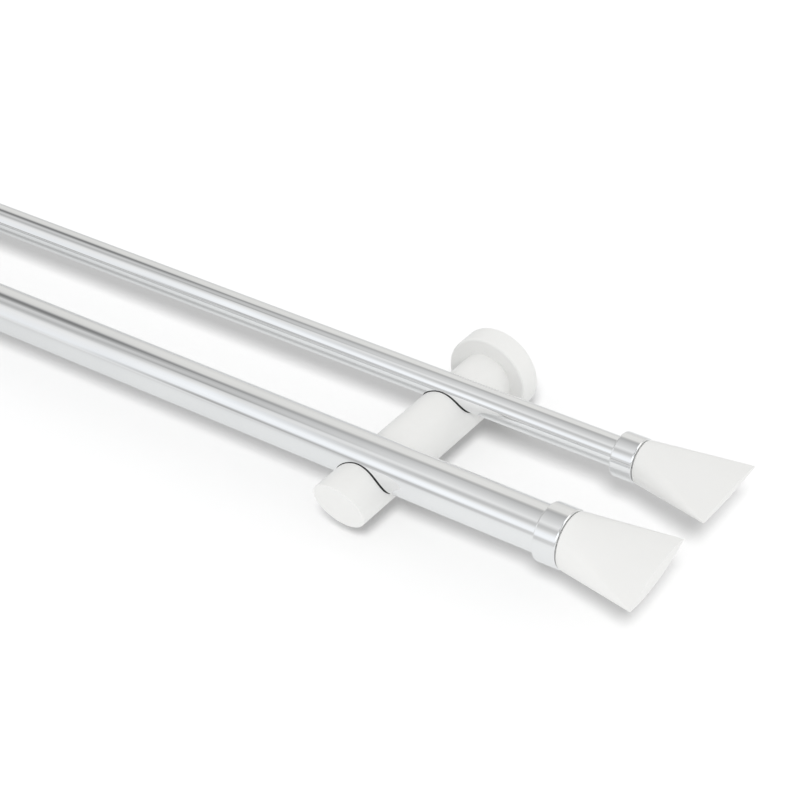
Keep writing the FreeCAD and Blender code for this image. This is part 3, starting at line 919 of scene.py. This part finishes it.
direction = sky_nodes.new("ShaderNodeTexCoord").outputs["Generated"]
parts = sky_nodes.new("ShaderNodeSeparateXYZ")
sky_links.new(direction, parts.inputs[0])
toward_room = sky_math("MULTIPLY", parts.outputs["Y"], -1.0)
round_x = sky_math("ARCTAN2", parts.outputs["Z"], toward_room)
band_place = sky_math("DIVIDE", round_x, math.pi)
slants = sorted(SKY_BANDS)
banded = band_row(SKY_BANDS[slants[0]], band_place)
for low_slant, high_slant in zip(slants, slants[1:]):
    between = sky_nodes.new("ShaderNodeMapRange")
    between.inputs["From Min"].default_value = low_slant
    between.inputs["From Max"].default_value = high_slant
    sky_links.new(parts.outputs["X"], between.inputs["Value"])
    blend = sky_nodes.new("ShaderNodeMix")
    blend.data_type = "RGBA"
    sky_links.new(between.outputs["Result"], blend.inputs["Factor"])
    sky_links.new(banded, blend.inputs["A"])
    sky_links.new(band_row(SKY_BANDS[high_slant], band_place), blend.inputs["B"])
    banded = blend.outputs["Result"]
print("sky rows blended from", slants[0], "to", slants[-1], "along X")

# %% [markdown]
# The sky answers each kind of ray in its own way. The camera sees plain white, mirror rays see
# the bands, and everything else gets an even light, so the white pieces don't pick up stripes.

# %% Sky
SKY_LEVEL = 0.865
WHITE = (1.0, 1.0, 1.0, 1)
rays = sky_nodes.new("ShaderNodeLightPath")


def light_of(colour, strength):
    """A background of one colour, or of the colour that a socket gives."""
    light = sky_nodes.new("ShaderNodeBackground")
    light.inputs["Strength"].default_value = strength
    if isinstance(colour, tuple):
        light.inputs["Color"].default_value = colour
    else:
        sky_links.new(colour, light.inputs["Color"])
    return light.outputs[0]


def choose(ray_kind, other, chosen):
    """The chosen light for one kind of ray, and the other light for the rest."""
    mix = sky_nodes.new("ShaderNodeMixShader")
    sky_links.new(rays.outputs[ray_kind], mix.inputs[0])
    sky_links.new(other, mix.inputs[1])
    sky_links.new(chosen, mix.inputs[2])
    return mix.outputs[0]


mirror_mix = choose("Is Glossy Ray", light_of(WHITE, SKY_LEVEL), light_of(banded, 1.0))
camera_mix = choose("Is Camera Ray", mirror_mix, light_of(WHITE, 1.0))
sky_out = sky_nodes.new("ShaderNodeOutputWorld")
sky_links.new(camera_mix, sky_out.inputs["Surface"])
print("even sky level:", SKY_LEVEL)

# %% [markdown]
# ## Lamps
#
# Each lamp is a sun with a wide disc, which acts as a large soft box far away. The key stands to
# the right and models the white pieces gently, and a weak fill from the left keeps their far sides
# light. The third lamp is linked to the floor alone: it turns the floor white and casts the soft
# shadows beside the pieces, while they keep the plain light that shows their true colour. No lamp
# shows in the chrome, where it would be a glaring spot: the bands of the sky are the soft boxes
# that a mirror sees.

# %% Lamps
KEY_DIRECTION = Vector((0.66, -0.42, 0.62))
FILL_DIRECTION = Vector((-0.86, -0.40, 0.31))
SHADOW_DIRECTION = Vector((0.388, -0.561, 0.731))
LAMP_DISTANCE = 3.0
LAMP_DISC = math.radians(12.5)


def soft_lamp(name, direction, strength, floor_link):
    """A sun with a wide disc. INCLUDE makes it light the floor alone, EXCLUDE all but the floor."""
    data = bpy.data.lights.new(name, "SUN")
    data.energy = strength
    data.angle = LAMP_DISC
    lamp = bpy.data.objects.new(name, data)
    toward_pieces = (-direction).to_track_quat("-Z", "Y").to_matrix().to_4x4()
    lamp.matrix_world = Matrix.Translation(direction * LAMP_DISTANCE) @ toward_pieces
    lamp.visible_glossy = False
    bpy.context.scene.collection.objects.link(lamp)
    linked = bpy.data.collections.new(name + "_link")
    linked.objects.link(floor)
    linked.collection_objects[0].light_linking.link_state = floor_link
    lamp.light_linking.receiver_collection = linked


soft_lamp("soft_key", KEY_DIRECTION, strength=0.62, floor_link="EXCLUDE")
soft_lamp("soft_fill", FILL_DIRECTION, strength=0.36, floor_link="EXCLUDE")
soft_lamp("floor_key", SHADOW_DIRECTION, strength=3.01, floor_link="INCLUDE")

# %% [markdown]
# ## Picture settings
#
# The Standard view keeps the written colours.

# %% Finish
bpy.context.scene.view_settings.view_transform = "Standard"
